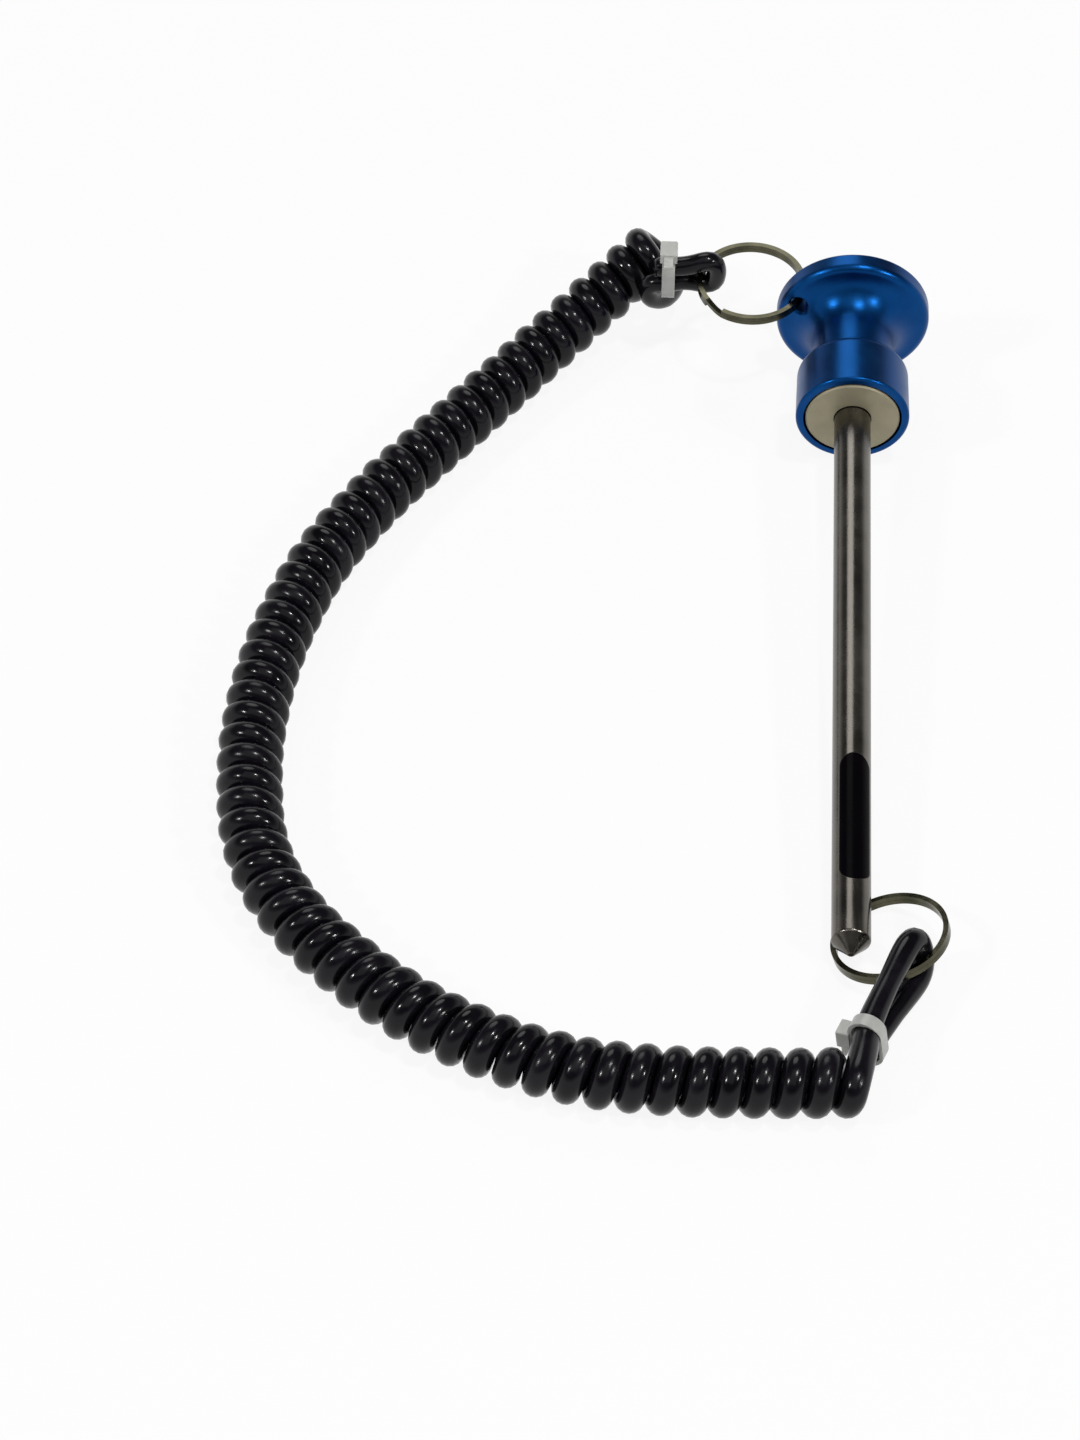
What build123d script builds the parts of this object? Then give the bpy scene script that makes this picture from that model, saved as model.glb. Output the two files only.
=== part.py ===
import os
from math import atan2, cos, radians, sin, sqrt, tan

from build123d import *

os.makedirs("parts", exist_ok=True)

# A selector pin for a weight stack: a steel rod in a spool-shaped knob with a magnet
# in its mouth, and a coiled cord that hangs from a split ring in the knob's flange.
# The pin lies along +Y with its knob at +Y, as it comes to rest on a table.
# The origin is under the middle of the pin, on the table. Lengths are in millimetres.

# rod
ROD_DIA = 9.5
ROD_OUT = 175.0  # from the tip to the mouth of the knob
ROD_IN = 22.0  # glued length inside the knob
TANG_DIA = 9.0  # turned down where it goes into the knob
TANG_SHOWS = 0.4  # relief ahead of the magnet
NOSE_R = 0.8  # flat at the very tip
NOSE_ROUND = 0.4
SHOULDER_ROUND = 0.8  # between the cone and the shaft

# knob
CUP_WALL = 2.0  # round the magnet's pocket, at the mouth
CUP_TAPER = 0.6  # how much narrower the cup is at its top
CUP_LEN = 16.0
CUP_LIP_ROUND = 0.8
CUP_SHOULDER_ROUND = 2.4
NECK_DIA = 21.4
NECK_ROUND = 1.2
SHOULDER_RISE = 1.2
FLARE_ROUND = 8.0
FLANGE_DIA = 40.4
FLANGE_T = 5.5  # at its edge
FLANGE_DISH = 1.3  # how far the flare's foot lies ahead of that edge
KNOB_LEN = 40.8
RIM_FRONT_ROUND = 2.0
RIM_BACK_ROUND = 0.8

# hole in the flange, seen from the tip
HOLE_DIA = 4.6
HOLE_X = -14.6
HOLE_UP = 6.5
HOLE_CHAMFER = 0.5

# magnet
MAGNET_DIA = 24.5
MAGNET_PROUD = 0.2
POCKET_DEPTH = 6.0
POCKET_CLEAR = 0.6  # radial, magnet to cup wall
MAGNET_BORE_CLEAR = 0.2  # radial, magnet to rod
MAGNET_CHAMFER = 0.4

# split rings, two flat turns of one wire
RING_OD = 28.8
WIRE_W = 1.3
WIRE_H = 1.17
WIRE_GAP = 0.06
CROSSOVER_DEG = 24.0
RING_LEAN = 20.0  # how far round the ring the flange's hole sits

# cord
CORD_DIA = 5.4
COIL_OD = 16.4
TIE_CLEAR = 0.6  # cord to tie

# folds of the cord, measured from the ring wire along the legs
TIED_HALF = 2.9  # half the spacing of two tied legs
CUT_LEN = 3.6  # past the tie
UPPER_AT = 170.0  # where on the ring
UPPER_LEG_DIR = 180.0
UPPER_LEAN = 6.0
UPPER_HALF = 5.0
UPPER_REACH = 4.1
UPPER_TIE_AT = 8.6
LOWER_AT = -56.0
LOWER_LEAN = -18.0
LOWER_HALF = 4.7
LOWER_REACH = 5.6

# cable ties
TIE_W = 3.4
TIE_T = 0.9
TIE_HEAD_L = 4.6
TIE_HEAD_W = 5.2
TIE_HEAD_H = 3.2
TIE_HEAD_SINK = 0.3
TIE_TAIL_L = 4.0
TIE_TAIL_W = 2.4
TIE_TAIL_T = 1.0

# how the pin lies: on the rim of its flange, with the rod just over the lower ring
PIN_TILT = 3.35
TIP_Y = -108.3

ROD_R = ROD_DIA / 2
TANG_R = TANG_DIA / 2
SHAFT_END = ROD_OUT - MAGNET_PROUD - TANG_SHOWS
CUP_DIA = MAGNET_DIA + 2 * (POCKET_CLEAR + CUP_WALL)
CUP_TOP_DIA = CUP_DIA - CUP_TAPER
FLANGE_R = FLANGE_DIA / 2
FLANGE_FRONT = KNOB_LEN - FLANGE_T
CORD_R = CORD_DIA / 2
COIL_R = COIL_OD / 2
RING_R = RING_OD / 2 - WIRE_W / 2
RING_HALF = WIRE_H + WIRE_GAP / 2
RIM_LOW = ROD_OUT + FLANGE_FRONT + RIM_FRONT_ROUND * 0.87
TIP_Z = (
    (FLANGE_R - RIM_FRONT_ROUND) * cos(radians(PIN_TILT))
    + RIM_FRONT_ROUND
    - RIM_LOW * sin(radians(PIN_TILT))
)

RIGHT = Vector(1, 0, 0)
UP = Vector(0, 0, 1)
ALONG = Vector(0, cos(radians(PIN_TILT)), sin(radians(PIN_TILT)))
OVER = RIGHT.cross(ALONG)
TIP = Vector(0, TIP_Y, TIP_Z)
PIN_AXIS = Axis((TIP.X, TIP.Y, TIP.Z), (ALONG.X, ALONG.Y, ALONG.Z))


def on_pin(right, along, over):
    return TIP + RIGHT * right + ALONG * along + OVER * over


def corner(sketch, radius, along):
    # the section's corner at that radius and place along the pin
    spot = Vector(radius, along, 0)
    return sketch.vertices().sort_by(lambda v: (Vector(v) - spot).length)[0]


# half section of the pin: local X is the radius, local Y runs from the tip to the knob
pin_section = Plane(origin=TIP, x_dir=RIGHT, z_dir=OVER)

# rod, with a coned tip
with BuildPart() as rod:
    with BuildSketch(pin_section) as rod_half:
        with BuildLine():
            Polyline(
                (0, 0),
                (NOSE_R, 0),
                (ROD_R, ROD_R - NOSE_R),
                (ROD_R, SHAFT_END),
                (TANG_R, SHAFT_END),
                (TANG_R, ROD_OUT + ROD_IN),
                (0, ROD_OUT + ROD_IN),
                close=True,
            )
        make_face()
        fillet(corner(rod_half, NOSE_R, 0), radius=NOSE_ROUND)
        fillet(corner(rod_half, ROD_R, ROD_R - NOSE_R), radius=SHOULDER_ROUND)
    revolve(axis=PIN_AXIS)

# knob: cup, neck and flared flange turned in one piece
flare_foot = ROD_OUT + FLANGE_FRONT - FLANGE_DISH
cup_top = ROD_OUT + CUP_LEN
knob_rounds = [
    (CUP_DIA / 2, ROD_OUT, CUP_LIP_ROUND),
    (CUP_TOP_DIA / 2, cup_top, CUP_SHOULDER_ROUND),
    (NECK_DIA / 2, cup_top + SHOULDER_RISE, NECK_ROUND),
    (NECK_DIA / 2, flare_foot, FLARE_ROUND),
    (FLANGE_R, ROD_OUT + FLANGE_FRONT, RIM_FRONT_ROUND),
    (FLANGE_R, ROD_OUT + KNOB_LEN, RIM_BACK_ROUND),
]
hole_centre = on_pin(HOLE_X, ROD_OUT + KNOB_LEN, HOLE_UP)
hole_plane = Plane(origin=hole_centre, x_dir=RIGHT, z_dir=ALONG)
mouth_plane = Plane(origin=on_pin(0, ROD_OUT, 0), x_dir=RIGHT, z_dir=ALONG)

with BuildPart() as knob:
    with BuildSketch(pin_section) as knob_half:
        with BuildLine():
            Polyline(
                (0, ROD_OUT),
                *[(r, s) for r, s, _ in knob_rounds],
                (0, ROD_OUT + KNOB_LEN),
                close=True,
            )
        make_face()
        for r, s, size in knob_rounds:
            fillet(corner(knob_half, r, s), radius=size)
    revolve(axis=PIN_AXIS)
    with BuildSketch(mouth_plane):
        Circle(MAGNET_DIA / 2 + POCKET_CLEAR)
    extrude(amount=POCKET_DEPTH, mode=Mode.SUBTRACT)
    with BuildSketch(mouth_plane):
        Circle(TANG_R)
    extrude(amount=ROD_IN, mode=Mode.SUBTRACT)
    with BuildSketch(hole_plane):
        Circle(HOLE_DIA / 2)
    extrude(amount=-(FLANGE_T + FLANGE_DISH + 2), mode=Mode.SUBTRACT)
    hole_rims = [e for e in knob.edges(Select.LAST) if e.geom_type != GeomType.LINE]
    chamfer(hole_rims, length=HOLE_CHAMFER)

# ring magnet round the rod, in the cup
with BuildPart() as magnet:
    with BuildSketch(mouth_plane.offset(-MAGNET_PROUD)):
        Circle(MAGNET_DIA / 2)
        Circle(ROD_R + MAGNET_BORE_CLEAR, mode=Mode.SUBTRACT)
    extrude(amount=POCKET_DEPTH + MAGNET_PROUD)
    outer_rims = magnet.edges().filter_by(GeomType.CIRCLE).filter_by(
        lambda e: abs(e.radius - MAGNET_DIA / 2) < 1e-6
    )
    chamfer(outer_rims, length=MAGNET_CHAMFER)


def split_ring(plane):
    # two flat turns of one wire: the upper one steps down to the lower one through a crossover
    half = CROSSOVER_DEG / 2
    rise = (WIRE_H + WIRE_GAP) / 2
    turn_axis = Axis(plane.origin, plane.z_dir)

    def wire_end(angle, height):
        out = plane.x_dir * cos(radians(angle)) + plane.y_dir * sin(radians(angle))
        return Plane(
            origin=plane.origin + out * RING_R + plane.z_dir * height,
            x_dir=out,
            z_dir=plane.z_dir.cross(out),
        )

    with BuildPart() as ring:
        for height in (rise, -rise):
            with BuildSketch(wire_end(half, height)):
                Rectangle(WIRE_W, WIRE_H)
            revolve(axis=turn_axis, revolution_arc=360 - CROSSOVER_DEG)
        for angle, height in ((-half, rise), (-half / 2, rise * 0.6), (0, 0), (half / 2, -rise * 0.6), (half, -rise)):
            with BuildSketch(wire_end(angle, height)):
                Rectangle(WIRE_W, WIRE_H)
        loft()
    return ring


# upper ring, through the flange's hole, flat with the pin
hole_mid = ROD_OUT + (FLANGE_FRONT - FLANGE_DISH / 2 + KNOB_LEN) / 2
upper_centre = on_pin(
    HOLE_X - RING_R * cos(radians(RING_LEAN)) + 0.29,
    hole_mid + RING_R * sin(radians(RING_LEAN)),
    HOLE_UP,
)
upper_plane = Plane(origin=upper_centre, x_dir=(RIGHT * cos(radians(225)) + ALONG * sin(radians(225))), z_dir=OVER)
upper_ring = split_ring(upper_plane)

# lower ring: its far side under the rod, its near side propped on the cord
LOWER_X = 9.4
LOWER_Y = -100.9
LOWER_TILT = 18.2
LOWER_UPHILL = 68.0  # from -Y towards +X
tilt_s = sin(radians(LOWER_TILT))
tilt_c = cos(radians(LOWER_TILT))
LOWER_Z = RING_OD / 2 * tilt_s + RING_HALF * tilt_c
uphill = Vector(sin(radians(LOWER_UPHILL)), -cos(radians(LOWER_UPHILL)), 0)
lower_centre = Vector(LOWER_X, LOWER_Y, LOWER_Z)
lower_u = uphill * tilt_c + UP * tilt_s
lower_n = UP * tilt_c - uphill * tilt_s
lower_plane = Plane(origin=lower_centre, x_dir=lower_u * -1, z_dir=lower_n)
lower_ring = split_ring(lower_plane)


def runs(name, points):
    # corner radii from the shorter neighbouring run and the turn, printed for checking
    pts = [Vector(*p) if not isinstance(p, Vector) else p for p in points]
    radii = []
    for a, b, c in zip(pts, pts[1:], pts[2:]):
        before = b - a
        after = c - b
        turn = atan2(before.cross(after).length, before.dot(after))
        radii.append(0.45 * min(before.length, after.length) / tan(turn / 2))
    print(name, "radii", [round(r, 1) for r in radii])
    print(name, "points", [(round(p.X, 2), round(p.Y, 2), round(p.Z, 2)) for p in pts])
    return pts, radii


def cord_solid(name, points, dia):
    pts, radii = runs(name, points)
    with BuildPart() as cord:
        with BuildLine() as path:
            FilletPolyline(*pts, radius=radii)
        with BuildSketch(Plane(origin=pts[0], z_dir=(pts[1] - pts[0]))):
            Circle(dia / 2)
        sweep(path=path.line)
    length = sum(edge.length for edge in path.line.edges())
    print(name, "length", round(length, 1), "volume over section x length",
          round(cord.part.volume / (3.14159265 * dia * dia / 4 * length), 4))
    return cord


# coil: one tube of the coil's outer diameter, from the upper ring round to the rod's tip
coil_route = [
    (-52.6, 127.0, 19.5),
    (-73.6, 109.9, 11.9),
    (-93.3, 84.9, COIL_R),
    (-131.4, 29.9, COIL_R),
    (-144.5, -9.0, COIL_R),
    (-148.5, -49.8, COIL_R),
    (-142.3, -91.9, COIL_R),
    (-113.5, -123.7, COIL_R),
    (-81.8, -142.3, COIL_R),
    (-47.2, -150.3, COIL_R),
    (-3.5, -147.0, COIL_R),
]
coil = cord_solid("coil", coil_route, COIL_OD)


def fold(wire, out, lean, half, reach, tie_at, tie_side, tie_half):
    # the cord folded round a ring wire, its two legs drawn together at the tie
    level = (UP - out * out.dot(UP)).normalized()
    sideways = level.cross(out)
    side = level * cos(radians(lean)) + sideways * sin(radians(lean))
    bend = wire - out * reach
    return [
        tie_at + tie_side * tie_half,
        bend + side * half,
        bend - side * half,
        tie_at - tie_side * tie_half,
    ]


# upper loop: cut end, fold round the upper ring, then down into the coil
upper_out = Vector(cos(radians(UPPER_LEG_DIR)), sin(radians(UPPER_LEG_DIR)), 0)
upper_wire = upper_centre + (RIGHT * cos(radians(UPPER_AT)) + ALONG * sin(radians(UPPER_AT))) * RING_R
upper_side = UP * cos(radians(UPPER_LEAN)) + UP.cross(upper_out) * sin(radians(UPPER_LEAN))
upper_tied = upper_wire + upper_out * UPPER_TIE_AT
near, bend_in, bend_out, far = fold(
    upper_wire, upper_out, UPPER_LEAN, UPPER_HALF, UPPER_REACH, upper_tied, upper_side, TIED_HALF
)
cut = near + (near - bend_in).normalized() * CUT_LEN
past = far + (far - bend_out).normalized() * CUT_LEN
upper_route = [cut, bend_in, bend_out, past, Vector(-57.2, 112.6, 21.2), Vector(-58.5, 121.0, 16.8)]
upper_loop = cord_solid("upper_loop", upper_route, CORD_DIA)
with upper_loop:
    add(coil.part, mode=Mode.SUBTRACT)

# lower loop: from the coil up beside the tip, fold round the lower ring, cut end
lower_v = lower_n.cross(lower_u)
lower_wire = lower_centre + (lower_u * cos(radians(LOWER_AT)) + lower_v * sin(radians(LOWER_AT))) * RING_R
lower_tied = Vector(3.9, -133.8, 7.7)
lower_out = (lower_tied - lower_wire).normalized()
lower_side = Vector(-0.12, 0.08, 0.98).normalized()
near, bend_in, bend_out, far = fold(
    lower_wire, lower_out, LOWER_LEAN, LOWER_HALF, LOWER_REACH, lower_tied, lower_side, TIED_HALF
)
cut = far + (far - bend_out).normalized() * CUT_LEN
lower_route = [
    Vector(-7.0, -151.4, 5.2),
    Vector(-2.0, -152.0, 5.4),
    Vector(1.4, -147.4, 7.2),
    near,
    bend_in,
    bend_out,
    cut,
]
lower_loop = cord_solid("lower_loop", lower_route, CORD_DIA)
with lower_loop:
    add(coil.part, mode=Mode.SUBTRACT)


def cable_tie(centre, out, side, head_on_side, tail_turn):
    # a band round both legs, its ratchet head and the cut end of its strap
    across = out.cross(side)
    plane = Plane(origin=centre, x_dir=side, z_dir=out)
    inner = CORD_R + TIE_CLEAR
    reach = inner + TIE_T
    if head_on_side:
        head_dir = side
        start = centre + side * (TIED_HALF + reach - TIE_HEAD_SINK)
    else:
        head_dir = across
        start = centre + head_dir * (reach - TIE_HEAD_SINK)
    with BuildPart() as tie:
        with BuildSketch(plane):
            SlotCenterToCenter(2 * TIED_HALF, 2 * reach)
            SlotCenterToCenter(2 * TIED_HALF, 2 * inner, mode=Mode.SUBTRACT)
        extrude(amount=TIE_W / 2, both=True)
        head_plane = Plane(origin=start, x_dir=out, z_dir=head_dir)
        with BuildSketch(head_plane) as block:
            Rectangle(TIE_HEAD_L, TIE_HEAD_W)
            fillet(block.vertices(), radius=0.5)
        extrude(amount=TIE_HEAD_H)
        tail_plane = Plane(
            origin=start + head_dir * (TIE_HEAD_H - TIE_TAIL_T),
            x_dir=out,
            z_dir=head_dir.cross(out) * tail_turn,
        )
        with BuildSketch(tail_plane.offset(TIE_HEAD_W / 2 - 0.2)):
            Rectangle(TIE_TAIL_W, TIE_TAIL_T)
        extrude(amount=TIE_TAIL_L)
    return tie


upper_tie = cable_tie(upper_tied, upper_out, upper_side, True, 1)
lower_tie = cable_tie(lower_tied, lower_out, lower_side, False, -1)

print("tip", TIP, "upper centre", upper_centre, "upper wire", upper_wire)
print("lower centre", lower_centre, "lower wire", lower_wire, "hole", hole_centre)
print("OVER", OVER, "ALONG", ALONG, "lower_n", lower_n)

rod.part.label = "rod"
export_step(rod.part, "parts/rod.step")
knob.part.label = "knob"
export_step(knob.part, "parts/knob.step")
magnet.part.label = "magnet"
export_step(magnet.part, "parts/magnet.step")
upper_ring.part.label = "upper_ring"
export_step(upper_ring.part, "parts/upper_ring.step")
lower_ring.part.label = "lower_ring"
export_step(lower_ring.part, "parts/lower_ring.step")
coil.part.label = "coil"
export_step(coil.part, "parts/coil.step")
upper_loop.part.label = "upper_loop"
export_step(upper_loop.part, "parts/upper_loop.step")
lower_loop.part.label = "lower_loop"
export_step(lower_loop.part, "parts/lower_loop.step")
upper_tie.part.label = "upper_tie"
export_step(upper_tie.part, "parts/upper_tie.step")
lower_tie.part.label = "lower_tie"
export_step(lower_tie.part, "parts/lower_tie.step")
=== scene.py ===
from bisect import bisect_right
from math import cos, floor, pi, radians, sin, sqrt, tau

import bpy
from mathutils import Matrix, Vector


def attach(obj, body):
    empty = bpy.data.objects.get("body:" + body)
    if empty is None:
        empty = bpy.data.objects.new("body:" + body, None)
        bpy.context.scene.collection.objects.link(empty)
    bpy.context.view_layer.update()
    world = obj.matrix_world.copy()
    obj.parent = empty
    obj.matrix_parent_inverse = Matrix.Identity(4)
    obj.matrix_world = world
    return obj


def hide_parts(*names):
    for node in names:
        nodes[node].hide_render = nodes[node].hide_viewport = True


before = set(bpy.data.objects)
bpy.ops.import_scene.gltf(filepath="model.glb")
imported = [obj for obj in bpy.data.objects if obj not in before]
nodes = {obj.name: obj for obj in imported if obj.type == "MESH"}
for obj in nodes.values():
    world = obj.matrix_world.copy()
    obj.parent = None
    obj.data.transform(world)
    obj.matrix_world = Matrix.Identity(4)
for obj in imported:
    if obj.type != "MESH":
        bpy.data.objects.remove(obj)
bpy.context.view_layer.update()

# the cord, in metres
CORD_D = 0.0068  # in the coil
LEG_D = 0.0053  # in the legs
UPPER_LEG = (0.050, 0.076)  # from the cut end, where a leg starts to thicken and where it is full
LOWER_LEG = (0.050, 0.078)
FOLD_D = 0.0064  # at the lower fold
FOLD_AT = 0.036  # from the lower cut end to that fold
FOLD_FULL = 0.0075  # from the fold to where the cord starts to thin
FOLD_REACH = 0.020  # from the fold to where the cord is a leg again
CUT_EDGE = 0.0006  # the rounded edge of a cut end
CUT_SHARE = 0.86  # the part of its radius that the cord keeps at the cut
TUBE_STEP = 0.001
TUBE_SIDES = 16
WAY_REACH = 0.0006  # half the stretch that gives the tube its direction
PATH_STEPS = 1200
CLEAR = 0.0002  # from the height 0 where the part lies, up to the cord and down to the floor

# the coil, a left-handed helix
COIL_R_TOP = 0.0047  # mean radius at the upper end
COIL_R_LOW = 0.0049
SETTLED_AT = 0.75  # the part of the coil's length after which it has its lower radius
PITCH = 0.0070
TURN_POINTS = 16
PHASE_IN = radians(250)
PHASE_OUT = radians(292)
LEAN = 0.0009  # of the upper turns, along the coil
UNEVEN = 0.012  # the part of its radius by which a turn differs
QUICK_BEAT = 0.37  # two waves that make the turns differ, in radians a point
SLOW_BEAT = 0.11

# the pin, and the dark field on its rod in the pin's own turned frame
TILT = radians(3.35)
AXIS_OVER = 0.0141  # the height of the pin's axis there
FIELD_X = 0.0006
FIELD_R = 0.0037
FIELD_START = -0.0885
FIELD_END = -0.0495
FIELD_EDGE = 0.00006

# the floor
FLOOR_SIZE = 8
FLOOR_GREY = 0.72
FLOOR_GLOW = 0.9  # how white it is to the camera and in reflections


def mm(*p):
    return Vector(p) / 1000


def share(value, start, end):
    # how far a value is on its way from start to end, from 0 to 1
    return min(max((value - start) / (end - start), 0.0), 1.0)


# camera
cam_data = bpy.data.cameras.new("camera")
cam = bpy.data.objects.new("camera", cam_data)
bpy.context.scene.collection.objects.link(cam)
cam_data.lens = 111.02
cam_data.sensor_width = 36.0
cam_data.clip_start = 0.05
cam_data.clip_end = 50
cam.location = mm(-41.42, -788.58, 806.96)
look = Vector((-0.03221, 0.68532, -0.72753)).normalized()
cam.rotation_euler = look.to_track_quat("-Z", "Y").to_euler()
bpy.context.scene.camera = cam


# cord
def line_points(points, steps):
    # points along the smooth line that a NURBS spline makes of its control points
    data = bpy.data.curves.new("guide", "CURVE")
    data.dimensions = "3D"
    spline = data.splines.new("NURBS")
    spline.points.add(len(points) - 1)
    for control, p in zip(spline.points, points):
        control.co = (*p, 1)
    spline.order_u = 3
    spline.use_endpoint_u = True
    spline.resolution_u = steps
    guide = bpy.data.objects.new("guide", data)
    bpy.context.scene.collection.objects.link(guide)
    graph = bpy.context.evaluated_depsgraph_get()
    mesh = bpy.data.meshes.new_from_object(guide.evaluated_get(graph))
    line = [v.co.copy() for v in mesh.vertices]
    line = line[:1] + [b for a, b in zip(line, line[1:]) if (b - a).length > 1e-6]
    bpy.data.meshes.remove(mesh)
    bpy.data.objects.remove(guide)
    bpy.data.curves.remove(data)
    return line


class Line:
    # a polyline read by its length
    def __init__(self, points):
        self.points = points
        self.at = [0.0]
        for a, b in zip(points, points[1:]):
            self.at.append(self.at[-1] + (b - a).length)
        self.length = self.at[-1]

    def read(self, s):
        s = min(max(s, 0.0), self.length)
        i = min(bisect_right(self.at, s), len(self.at) - 1) - 1
        t = (s - self.at[i]) / (self.at[i + 1] - self.at[i])
        return self.points[i].lerp(self.points[i + 1], t)

    def along(self, s, reach=0.002):
        return (self.read(s + reach) - self.read(s - reach)).normalized()


# the coil's route as in part.py, with its two ends moved a little to meet the legs
coil_route = [
    mm(-53.8, 128.2, 20.7),
    mm(-73.6, 109.9, 11.9),
    mm(-93.3, 84.9, 8.2),
    mm(-131.4, 29.9, 8.2),
    mm(-144.5, -9.0, 8.2),
    mm(-148.5, -49.8, 8.2),
    mm(-142.3, -91.9, 8.2),
    mm(-113.5, -123.7, 8.2),
    mm(-81.8, -142.3, 8.2),
    mm(-47.2, -150.3, 8.2),
    mm(0.1, -147.1, 8.2),
]
# upper loop: cut end, leg, fold round the ring wire, leg, then out to the coil
upper_points = [
    mm(-52.9, 110.5, 29.6),
    mm(-49.6, 110.6, 30.0),
    mm(-44.6, 110.9, 29.9),
    mm(-37.6, 111.2, 32.6),
    mm(-36.3, 112.2, 27.1),
    mm(-37.6, 113.4, 21.6),
    mm(-44.6, 112.4, 24.2),
    mm(-49.6, 110.9, 24.1),
    mm(-54.8, 111.4, 23.4),
    mm(-54.6, 112.2, 17.2),
    mm(-50.6, 116.6, 13.0),
    mm(-48.4, 122.4, 11.2),
    mm(-47.8, 127.4, 10.8),
    mm(-50.2, 131.6, 13.4),
]
# lower loop: from the coil, leg, fold round the ring wire, leg, cut end
lower_points = [
    mm(1.2, -148.6, 12.2),
    mm(2.4, -142.0, 11.6),
    mm(3.4, -135.0, 10.6),
    mm(4.4, -130.6, 11.2),
    mm(7.6, -122.6, 12.6),
    mm(13.8, -107.6, 14.2),
    mm(16.3, -106.1, 9.4),
    mm(16.8, -109.4, 2.7),
    mm(10.6, -122.0, 4.4),
    mm(4.2, -134.2, 4.6),
    mm(2.8, -137.3, 4.7),
]


def coil_turns(line):
    # the helix's points, wound round the coil's line
    sweep = tau * floor(line.length / PITCH) + (PHASE_OUT - PHASE_IN)
    count = int(sweep / tau * TURN_POINTS)
    swell = 1 / cos(pi / TURN_POINTS)  # makes up for the spline, which cuts inside its points
    points = []
    for i in range(count + 1):
        f = i / count
        centre = line.read(line.length * f)
        way = line.along(line.length * f)
        up = (Vector((0, 0, 1)) - way * way.z).normalized()
        side = way.cross(up)
        settled = share(f, 0.0, SETTLED_AT)
        r = COIL_R_TOP + (COIL_R_LOW - COIL_R_TOP) * settled
        r *= 1 + UNEVEN * sin(i * QUICK_BEAT) * sin(i * SLOW_BEAT)
        phase = PHASE_IN + sweep * f
        lean = LEAN * (1 - settled) * cos(phase)
        p = centre + (up * cos(phase) - side * sin(phase)) * (r * swell) + way * lean
        p.z -= COIL_R_LOW - r
        p.z = max(p.z, CORD_D / 2 + CLEAR)
        points.append(p)
    return points


def cord_radius(s, total):
    # the coil's end turns thin into the legs, and the lower leg is fuller again at its fold
    to_end = total - s
    leg = UPPER_LEG if s < to_end else LOWER_LEG
    fold = share(abs(to_end - FOLD_AT), FOLD_REACH, FOLD_FULL)
    thin = (LEG_D + (FOLD_D - LEG_D) * fold) / 2
    blend = share(min(s, to_end), *leg)
    return thin + (CORD_D / 2 - thin) * blend * blend * (3 - 2 * blend)


def tube(name, line, radius, step, sides):
    # a closed tube along a line, its rings carried on from one to the next without twist
    count = round(line.length / step)
    verts = []
    across = line.along(0.0, WAY_REACH).orthogonal()
    for i in range(count + 1):
        s = line.length * i / count
        way = line.along(s, WAY_REACH)
        across = (across - way * across.dot(way)).normalized()
        other = way.cross(across)
        centre = line.read(s)
        r = radius(s, line.length)
        edge = min(s, line.length - s)
        if edge < CUT_EDGE:
            r *= CUT_SHARE + (1 - CUT_SHARE) * sqrt(edge / CUT_EDGE)
        for k in range(sides):
            turn = tau * k / sides
            verts.append(centre + (across * cos(turn) + other * sin(turn)) * r)
    faces = []
    for i in range(count):
        near, far = i * sides, (i + 1) * sides
        for k in range(sides):
            n = (k + 1) % sides
            faces.append((near + k, near + n, far + n, far + k))
    faces.append(tuple(reversed(range(sides))))
    faces.append(tuple(count * sides + k for k in range(sides)))
    mesh = bpy.data.meshes.new(name)
    mesh.from_pydata([tuple(v) for v in verts], [], faces)
    mesh.update()
    for face in mesh.polygons:
        face.use_smooth = len(face.vertices) == 4
    obj = bpy.data.objects.new(name, mesh)
    bpy.context.scene.collection.objects.link(obj)
    return obj


coil_line = Line(line_points(coil_route, steps=24))
cord_line = Line(line_points(upper_points + coil_turns(coil_line) + lower_points, steps=6))
cord = tube("lanyard_cord", cord_line, cord_radius, TUBE_STEP, TUBE_SIDES)
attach(cord, "lanyard")
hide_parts("coil", "upper_loop", "lower_loop")
[cord_line.read(cord_line.length * i / PATH_STEPS) for i in range(PATH_STEPS + 1)]


# shader nodes
def put(tree, socket, value):
    # another node's output is linked, and any other value is set
    if isinstance(value, bpy.types.NodeSocket):
        tree.links.new(value, socket)
    else:
        socket.default_value = value


def make(tree, kind, *feeds, **values):
    # a node with the values for its properties and inputs, by name or in their order
    node = tree.nodes.new(kind)
    for key, value in values.items():
        if key in node.bl_rna.properties:
            setattr(node, key, value)
        else:
            put(tree, node.inputs[key.replace("_", " ")], value)
    for socket, value in zip(node.inputs, feeds):
        put(tree, socket, value)
    return node


def maths(tree, operation, *feeds):
    return make(tree, "ShaderNodeMath", *feeds, operation=operation).outputs["Value"]


def two_tone(tree, factor, low_at, low, high_at, high):
    # a colour that goes from low to high with a factor
    ramp = make(tree, "ShaderNodeValToRGB", factor)
    low_end, high_end = ramp.color_ramp.elements
    low_end.position = low_at
    low_end.color = (*low, 1)
    high_end.position = high_at
    high_end.color = (*high, 1)
    return ramp.outputs["Color"]


def group(name, inputs, outputs):
    # a node group that takes and gives plain values, with its two ends
    tree = bpy.data.node_groups.new(name, "ShaderNodeTree")
    for label, value in inputs.items():
        socket = tree.interface.new_socket(label, in_out="INPUT", socket_type="NodeSocketFloat")
        socket.default_value = value
    for label in outputs:
        tree.interface.new_socket(label, in_out="OUTPUT", socket_type="NodeSocketFloat")
    return tree, tree.nodes.new("NodeGroupInput"), tree.nodes.new("NodeGroupOutput")


def object_place(tree):
    return make(tree, "ShaderNodeTexCoord").outputs["Object"]


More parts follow.
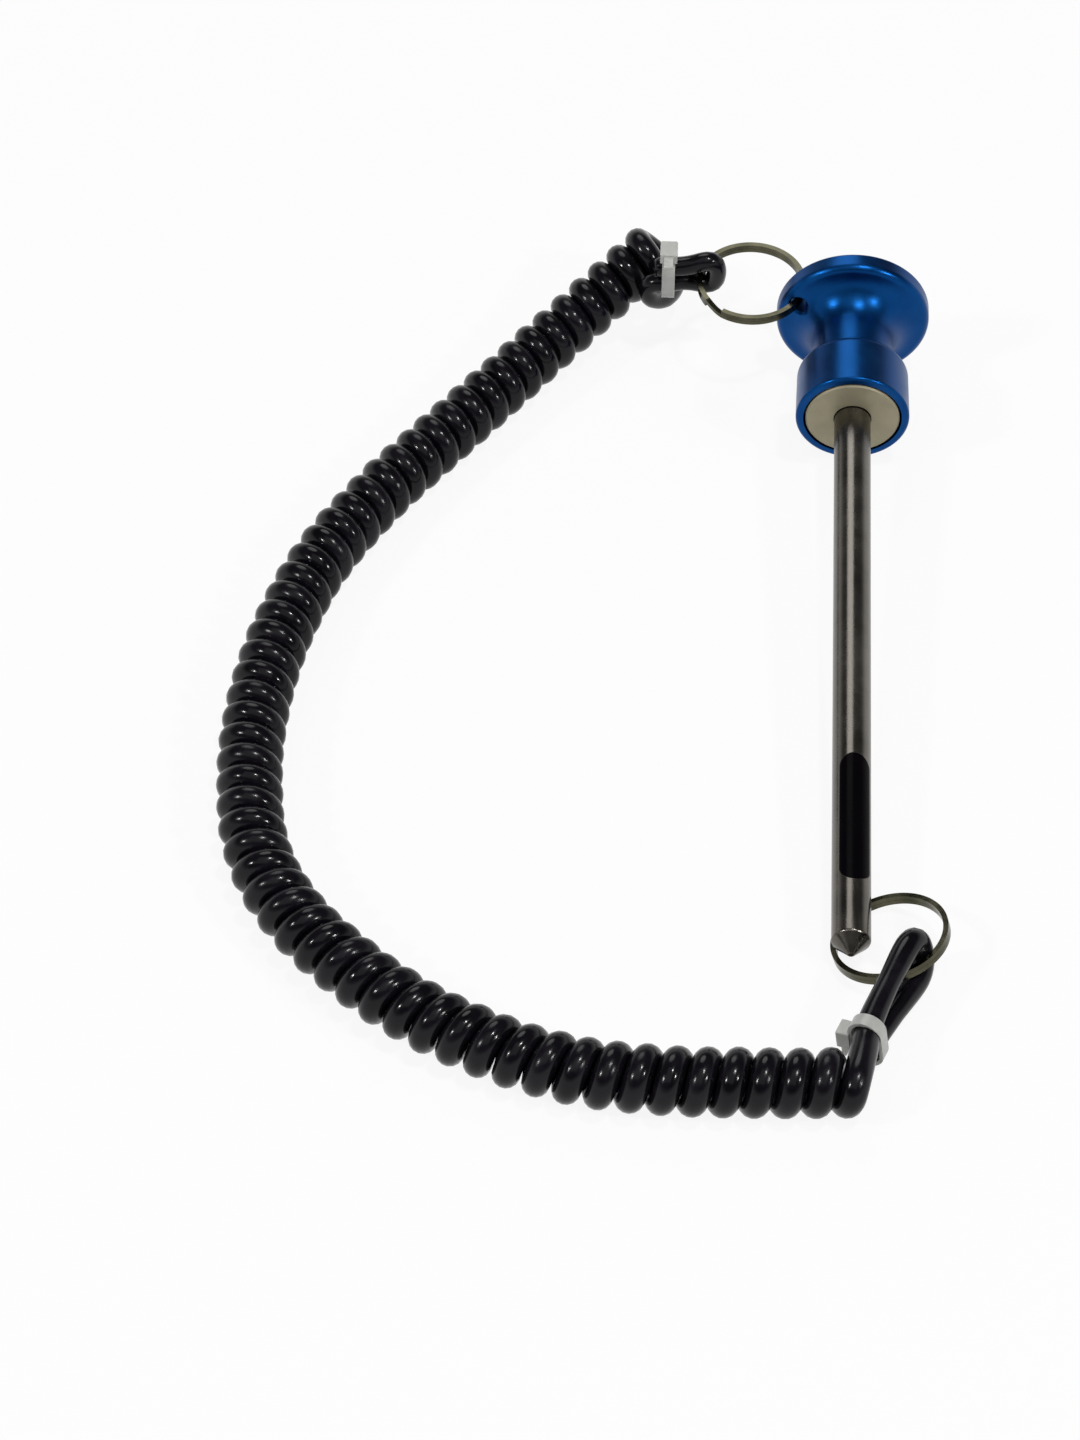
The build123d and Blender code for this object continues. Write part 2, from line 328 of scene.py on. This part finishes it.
def pin_place(tree):
    # turned so that Y runs along the pin's axis
    turn = make(tree, "ShaderNodeMapping", Vector=object_place(tree), Rotation=(-TILT, 0, 0))
    return turn.outputs["Vector"]


def cloudy_polish(tree, inlet, outlet, clouds, least, most, smoother, rougher):
    # soft clouds that shade the colour and change how rough the finish is
    cloud = make(tree, "ShaderNodeTexNoise", object_place(tree), **clouds)
    spread = make(tree, "ShaderNodeMapRange", Value=cloud.outputs["Fac"], From_Min=least, From_Max=most)
    put(tree, spread.inputs["To Min"], smoother)
    put(tree, spread.inputs["To Max"], rougher)
    rough = maths(tree, "ADD", spread.outputs["Result"], inlet.outputs["Base Rough"])
    tree.links.new(rough, outlet.inputs["Rough"])
    tree.links.new(cloud.outputs["Fac"], outlet.inputs["Shade"])


def turning_marks():
    # fine turning marks round the pin's axis, with a little uneven polish
    inputs = {"Pitch": 2400.0, "Base Rough": 0.25}
    tree, inlet, outlet = group("turning_marks", inputs, ["Value", "Rough", "Shade"])
    place = pin_place(tree)
    flat = make(tree, "ShaderNodeVectorMath", place, (25.0, 900.0, 25.0), operation="MULTIPLY")
    streaks = make(tree, "ShaderNodeTexNoise", flat.outputs["Vector"], Scale=1.0, Detail=3.0, Roughness=0.7)
    along = make(tree, "ShaderNodeSeparateXYZ", place).outputs["Y"]
    wave = maths(tree, "SINE", maths(tree, "MULTIPLY", along, inlet.outputs["Pitch"]))
    marks = maths(tree, "MULTIPLY_ADD", wave, 0.25, streaks.outputs["Fac"])
    tree.links.new(marks, outlet.inputs["Value"])
    clouds = {"Scale": 90.0, "Detail": 4.0, "Roughness": 0.6}
    cloudy_polish(tree, inlet, outlet, clouds, 0.3, 0.7, -0.05, 0.07)
    return tree


def fine_grain():
    # fine grain and faint scuffs, for plastic and plated metal
    inputs = {"Base Rough": 0.2, "Spread": 0.08}
    tree, inlet, outlet = group("fine_grain", inputs, ["Value", "Rough", "Shade"])
    grain = make(tree, "ShaderNodeTexNoise", object_place(tree), Scale=1500.0, Detail=2.0, Roughness=0.5)
    tree.links.new(grain.outputs["Fac"], outlet.inputs["Value"])
    clouds = {"Scale": 160.0, "Detail": 5.0, "Roughness": 0.62}
    cloudy_polish(tree, inlet, outlet, clouds, 0.35, 0.7, 0.0, inlet.outputs["Spread"])
    return tree


def dark_field():
    # 1 inside a field with round ends on the upper side of the rod, 0 elsewhere
    tree, _, outlet = group("dark_field", {}, ["Value"])
    spot = make(tree, "ShaderNodeSeparateXYZ", pin_place(tree)).outputs
    near = make(tree, "ShaderNodeClamp", spot["Y"], FIELD_START + FIELD_R, FIELD_END - FIELD_R)
    middle = make(tree, "ShaderNodeCombineXYZ", FIELD_X, near.outputs["Result"])
    here = make(tree, "ShaderNodeCombineXYZ", spot["X"], spot["Y"])
    ends = (middle.outputs["Vector"], here.outputs["Vector"])
    gap = make(tree, "ShaderNodeVectorMath", *ends, operation="DISTANCE").outputs["Value"]
    edge = {"From_Min": FIELD_R - FIELD_EDGE, "From_Max": FIELD_R + FIELD_EDGE}
    inside = make(tree, "ShaderNodeMapRange", Value=gap, To_Min=1.0, To_Max=0.0, **edge)
    upper = maths(tree, "GREATER_THAN", spot["Z"], AXIS_OVER)
    both = maths(tree, "MULTIPLY", inside.outputs["Result"], upper)
    tree.links.new(both, outlet.inputs["Value"])
    return tree


TURNED = turning_marks()
GRAIN = fine_grain()


# materials
def material(name, **sockets):
    mat = bpy.data.materials.new(name)
    mat.use_nodes = True
    shader = mat.node_tree.nodes["Principled BSDF"]
    for key, value in sockets.items():
        shader.inputs[key.replace("_", " ")].default_value = value
    return mat, mat.node_tree, shader


def surface(tree, shader, pattern, dark, light, bump, depth, **inputs):
    # the pattern's shade, roughness and relief on a material; gives the colour back
    work = make(tree, "ShaderNodeGroup", node_tree=pattern)
    for key, value in inputs.items():
        work.inputs[key.replace("_", " ")].default_value = value
    colour = two_tone(tree, work.outputs["Shade"], 0.3, dark, 0.72, light)
    relief = make(tree, "ShaderNodeBump", Strength=bump, Distance=depth, Height=work.outputs["Value"])
    tree.links.new(colour, shader.inputs["Base Color"])
    tree.links.new(work.outputs["Rough"], shader.inputs["Roughness"])
    tree.links.new(relief.outputs["Normal"], shader.inputs["Normal"])
    return colour


def turned_shine(tree, shader, amount):
    # turning marks spread a highlight along the pin, not round it
    ring = make(tree, "ShaderNodeTangent", direction_type="RADIAL", axis="Y")
    tree.links.new(ring.outputs["Tangent"], shader.inputs["Tangent"])
    shader.inputs["Anisotropic"].default_value = amount
    shader.inputs["Anisotropic Rotation"].default_value = 0.25


def blue_anodised():
    mat, tree, shader = material("blue_anodised", Metallic=0.95)
    dark, light = (0.0012, 0.040, 0.165), (0.0026, 0.062, 0.225)
    surface(tree, shader, TURNED, dark, light, bump=0.14, depth=0.00005, Pitch=9000.0, Base_Rough=0.33)
    turned_shine(tree, shader, 0.4)
    return mat


def ground_steel():
    # bare steel, with a black field that isn't metallic
    mat, tree, shader = material("ground_steel", Specular_IOR_Level=0.02)
    dark, light = (0.100, 0.093, 0.082), (0.165, 0.155, 0.138)
    finish = {"bump": 0.13, "depth": 0.00005, "Pitch": 14000.0, "Base_Rough": 0.25}
    steel = surface(tree, shader, TURNED, dark, light, **finish)
    turned_shine(tree, shader, 0.5)
    field = make(tree, "ShaderNodeGroup", node_tree=dark_field()).outputs["Value"]
    black = (0.0016, 0.0012, 0.0018, 1)
    colour = make(tree, "ShaderNodeMix", data_type="RGBA", Factor=field, A=steel, B=black)
    tree.links.new(colour.outputs["Result"], shader.inputs["Base Color"])
    tree.links.new(maths(tree, "SUBTRACT", 1.0, field), shader.inputs["Metallic"])
    return mat


def magnet_nickel():
    mat, tree, shader = material("magnet_nickel", Metallic=0.5)
    dark, light = (0.25, 0.225, 0.150), (0.33, 0.30, 0.205)
    surface(tree, shader, GRAIN, dark, light, bump=0.12, depth=0.00004, Base_Rough=0.42, Spread=0.12)
    return mat


def ring_nickel():
    mat, tree, shader = material("ring_nickel", Metallic=1.0)
    dark, light = (0.040, 0.038, 0.024), (0.105, 0.100, 0.066)
    surface(tree, shader, GRAIN, dark, light, bump=0.1, depth=0.00004, Base_Rough=0.14, Spread=0.12)
    return mat


def black_cord():
    mat, tree, shader = material("black_cord", IOR=1.4, Specular_IOR_Level=0.3)
    dark, light = (0.0016, 0.0013, 0.0022), (0.0055, 0.0045, 0.0072)
    surface(tree, shader, GRAIN, dark, light, bump=0.12, depth=0.00003, Base_Rough=0.12, Spread=0.16)
    return mat


def tie_nylon():
    mat, tree, shader = material("tie_nylon", IOR=1.5, Subsurface_Weight=0.3, Subsurface_Scale=1.0)
    shader.inputs["Subsurface Radius"].default_value = (0.002, 0.002, 0.0018)
    dark, light = (0.31, 0.315, 0.30), (0.42, 0.425, 0.40)
    surface(tree, shader, GRAIN, dark, light, bump=0.1, depth=0.00004, Base_Rough=0.34, Spread=0.12)
    return mat


def dress(mat, *pieces):
    for piece in pieces:
        slots = piece.data.materials
        if not slots:
            slots.append(mat)
        for i in range(len(slots)):
            slots[i] = mat


dress(blue_anodised(), nodes["knob"])
dress(ground_steel(), nodes["rod"])
dress(magnet_nickel(), nodes["magnet"])
dress(ring_nickel(), nodes["upper_ring"], nodes["lower_ring"])
dress(black_cord(), cord)
dress(tie_nylon(), nodes["upper_tie"], nodes["lower_tie"])


# stage
def white_floor():
    # white to the camera and in reflections, grey to the light, with the part's shadow on it
    grey = (FLOOR_GREY, FLOOR_GREY, FLOOR_GREY, 1)
    mat, tree, shader = material("floor_white", Base_Color=grey, Roughness=0.9)
    rays = make(tree, "ShaderNodeLightPath").outputs
    seen = maths(tree, "MAXIMUM", rays["Is Camera Ray"], rays["Is Glossy Ray"])
    seen = maths(tree, "MAXIMUM", seen, rays["Is Transmission Ray"])
    white = make(tree, "ShaderNodeEmission", Color=(1, 1, 1, 1), Strength=1.0)
    shaders = (shader.outputs["BSDF"], white.outputs["Emission"])
    mix = make(tree, "ShaderNodeMixShader", maths(tree, "MULTIPLY", seen, FLOOR_GLOW), *shaders)
    tree.links.new(mix.outputs["Shader"], tree.nodes["Material Output"].inputs["Surface"])
    return mat


def studio():
    # white low down, and a darker ceiling for the metal to show
    world = bpy.data.worlds.new("studio")
    world.use_nodes = True
    tree = world.node_tree
    way = make(tree, "ShaderNodeTexCoord").outputs["Generated"]
    height = make(tree, "ShaderNodeSeparateXYZ", way).outputs["Z"]
    colour = two_tone(tree, height, 0.12, (1, 1, 1), 0.42, (0.10, 0.10, 0.10))
    tree.links.new(colour, tree.nodes["Background"].inputs["Color"])
    tree.nodes["Background"].inputs["Strength"].default_value = 1.0
    return world


def lamp(name, way, distance, size, power, shape="DISK"):
    data = bpy.data.lights.new(name, "AREA")
    data.shape = shape
    data.size = size
    data.energy = power
    obj = bpy.data.objects.new(name, data)
    bpy.context.scene.collection.objects.link(obj)
    way = Vector(way).normalized()
    obj.location = way * distance
    obj.rotation_euler = (-way).to_track_quat("-Z", "Y").to_euler()


bpy.ops.mesh.primitive_plane_add(size=FLOOR_SIZE, location=(0, 0, -CLEAR))
ground = bpy.context.object
ground.name = "floor"
dress(white_floor(), ground)
bpy.context.scene.world = studio()

# three small room lamps, which the glossy cord shows as three dots on each turn
lamp("lamp_left", (-0.69, -0.33, 0.64), 2.2, 0.17, 15)
lamp("lamp_over", (0.20, -0.14, 0.97), 2.2, 0.17, 17)
lamp("lamp_right", (0.64, -0.42, 0.64), 2.2, 0.17, 15)
# a lamp beyond the pin, which the rod shows as a bright stripe along it
lamp("lamp_beyond", (-0.16, 0.66, 0.73), 2.4, 1.2, 11)
# one broad soft light from above and behind the camera
lamp("soft_box", (-0.1, -0.35, 0.93), 2.6, 2.2, 9, "SQUARE")

bpy.context.scene.view_settings.view_transform = "Standard"
